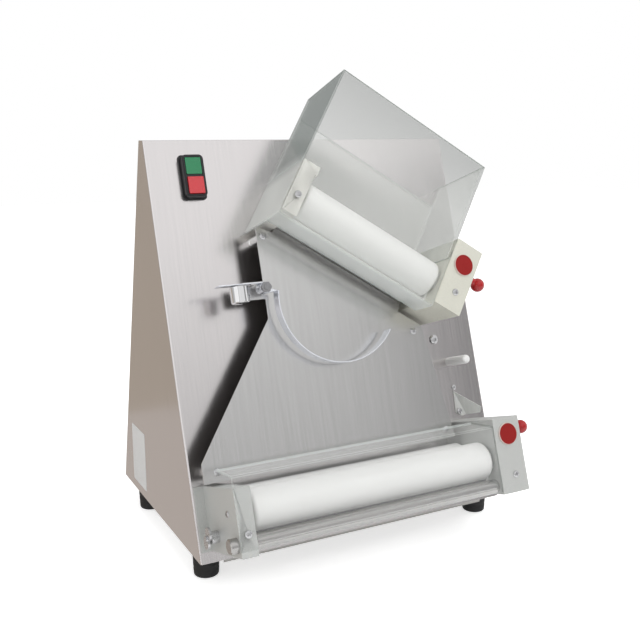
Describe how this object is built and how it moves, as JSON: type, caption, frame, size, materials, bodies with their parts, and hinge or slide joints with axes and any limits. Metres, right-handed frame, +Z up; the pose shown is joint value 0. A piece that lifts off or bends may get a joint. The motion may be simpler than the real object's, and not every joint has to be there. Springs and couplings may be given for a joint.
{
  "type": "dough sheeter",
  "caption": "Countertop pizza dough roller: steel wedge cabinet with a tilted upper and a level lower roller head, clear guards, thickness levers, chute and swing arm.",
  "frame": {"origin": "on the floor under the middle of the machine's bounding box", "axes": "+X to the right seen from the front, +Y to the back, +Z up"},
  "size_m": [0.488, 0.4512, 0.6562],
  "materials": {
    "steel": "turned or drawn steel",
    "steel_sheet": "brushed stainless sheet",
    "cast": "satin cast alloy, cream grey",
    "roller": "turned white food plastic",
    "clear": "clear sheet with a faint green tint",
    "red_gloss": "gloss",
    "green_gloss": "gloss",
    "black_plastic": "moulded",
    "rubber": "black rubber",
    "light_alloy": "satin",
    "bronze": "machined bronze",
    "motor_paint": "painted"
  },
  "bodies": {
    "cabinet": {"cabinet_shell": "steel_sheet", "back_panel": "steel_sheet", "back_panel_screws": "steel", "cable_gland": "black_plastic", "base_plate": "steel_sheet", "rubber_feet": "rubber", "foot_screws": "steel", "switch_box": "black_plastic", "upper_gear_block": "cast", "upper_end_plate": "cast", "lower_gear_block": "cast", "lower_end_plate": "cast", "upper_hopper": "clear", "lower_guard": "clear", "lower_tie_bar": "steel", "motor_bracket": "motor_paint", "motor": "motor_paint", "drive_belt": "rubber", "capacitor": "black_plastic", "worm_caps": "red_gloss", "chute_plate": "steel_sheet", "chute_standoffs": "steel", "guide_peg": "steel", "deflector": "steel_sheet", "arm_pivot_bolt": "steel", "wing_screw": "steel", "front_screws": "steel"},
    "lower_rear_roller": {"lower_rear_roller": "roller", "lower_rear_shaft": "steel", "lower_rear_gear": "steel", "lower_worm_wheel": "bronze"},
    "lower_carriage": {"lower_bearing_blocks": "roller", "lower_scraper": "steel"},
    "lower_front_roller": {"lower_front_roller": "roller", "lower_front_shaft": "steel", "lower_front_gear": "steel"},
    "lower_worm": {"lower_worm_shaft": "steel", "lower_worm_pulley": "light_alloy"},
    "lower_lever": {"lower_lever": "steel"},
    "lower_knob": {"lower_knob": "red_gloss"},
    "upper_rear_roller": {"upper_rear_roller": "roller", "upper_rear_shaft": "steel", "upper_rear_gear": "steel", "upper_worm_wheel": "bronze"},
    "upper_carriage": {"upper_bearing_blocks": "roller", "upper_scraper": "steel"},
    "upper_front_roller": {"upper_front_roller": "roller", "upper_front_shaft": "steel", "upper_front_gear": "steel"},
    "upper_worm": {"upper_worm_shaft": "steel", "upper_worm_pulley": "light_alloy"},
    "upper_lever": {"upper_lever": "steel"},
    "upper_knob": {"upper_knob": "red_gloss"},
    "motor_pulley": {"motor_pulley": "light_alloy"},
    "start_button": {"start_button": "green_gloss"},
    "stop_button": {"stop_button": "red_gloss"},
    "swing_arm": {"swing_arm": "light_alloy", "counterweight": "steel"}
  },
  "joints": [
    {"name": "lower_rear_spin", "type": "hinge", "parent": "cabinet", "child": "lower_rear_roller", "pos_m": [-0.022, -0.12874, 0.10408], "axis": [1, 0, 0], "continuous": true},
    {"name": "lower_lever_turn", "type": "hinge", "parent": "cabinet", "child": "lower_lever", "pos_m": [0.205, -0.17847, 0.12091], "axis": [-1, 0, 0], "range_deg": [0, 90]},
    {"name": "lower_gap_slide", "type": "slide", "parent": "cabinet", "child": "lower_carriage", "axis": [0, -0.9472, 0.3206], "range_m": [0, 0.003]},
    {"name": "lower_front_spin", "type": "hinge", "parent": "lower_carriage", "child": "lower_front_roller", "pos_m": [-0.022, -0.17847, 0.12091], "axis": [1, 0, 0], "continuous": true},
    {"name": "lower_worm_spin", "type": "hinge", "parent": "cabinet", "child": "lower_worm", "pos_m": [0.183, -0.08975, 0.12572], "axis": [0, -0.9472, 0.3206], "continuous": true},
    {"name": "lower_knob_pull", "type": "slide", "parent": "lower_lever", "child": "lower_knob", "axis": [1, 0, 0], "range_m": [0, 0.005], "stiffness_N_per_m": 800},
    {"name": "upper_rear_spin", "type": "hinge", "parent": "cabinet", "child": "upper_rear_roller", "pos_m": [0.0247, -0.02552, 0.40909], "axis": [0.829, -0.1793, -0.5297], "continuous": true},
    {"name": "upper_lever_turn", "type": "hinge", "parent": "cabinet", "child": "upper_lever", "pos_m": [0.15527, -0.10349, 0.34249], "axis": [-0.829, 0.1793, 0.5297], "range_deg": [0, 90]},
    {"name": "upper_gap_slide", "type": "slide", "parent": "cabinet", "child": "upper_carriage", "axis": [0, -0.9472, 0.3206], "range_m": [0, 0.003]},
    {"name": "upper_front_spin", "type": "hinge", "parent": "upper_carriage", "child": "upper_front_roller", "pos_m": [0.0247, -0.07526, 0.42592], "axis": [0.829, -0.1793, -0.5297], "continuous": true},
    {"name": "upper_worm_spin", "type": "hinge", "parent": "cabinet", "child": "upper_worm", "pos_m": [0.15549, -0.01263, 0.35361], "axis": [0, -0.9472, 0.3206], "continuous": true},
    {"name": "upper_knob_pull", "type": "slide", "parent": "upper_lever", "child": "upper_knob", "axis": [0.829, -0.1793, -0.5297], "range_m": [0, 0.005], "stiffness_N_per_m": 800},
    {"name": "motor_spin", "type": "hinge", "parent": "cabinet", "child": "motor_pulley", "pos_m": [0.057, -0.05289, 0.23465], "axis": [0, -0.9472, 0.3206], "continuous": true},
    {"name": "start_button_push", "type": "slide", "parent": "cabinet", "child": "start_button", "axis": [0, 0.9472, -0.3206], "range_m": [0, 0.0025], "stiffness_N_per_m": 600},
    {"name": "stop_button_push", "type": "slide", "parent": "cabinet", "child": "stop_button", "axis": [0, 0.9472, -0.3206], "range_m": [0, 0.0025], "stiffness_N_per_m": 600},
    {"name": "arm_swing", "type": "hinge", "parent": "cabinet", "child": "swing_arm", "pos_m": [-0.127, -0.06175, 0.37067], "axis": [0, 0.9472, -0.3206], "range_deg": [0, 50]}
  ],
  "couplings": [
    {"joint": "lower_lever_turn", "follows": "lower_gap_slide", "rad_per_m": 523.08},
    {"joint": "lower_front_spin", "follows": "lower_rear_spin", "ratio": -1},
    {"joint": "lower_worm_spin", "follows": "lower_rear_spin", "ratio": 15},
    {"joint": "upper_lever_turn", "follows": "upper_gap_slide", "rad_per_m": 523.08},
    {"joint": "upper_front_spin", "follows": "lower_rear_spin", "ratio": -1},
    {"joint": "upper_worm_spin", "follows": "lower_rear_spin", "ratio": 15},
    {"joint": "upper_rear_spin", "follows": "lower_rear_spin", "ratio": 1},
    {"joint": "motor_spin", "follows": "lower_rear_spin", "ratio": 15}
  ]
}
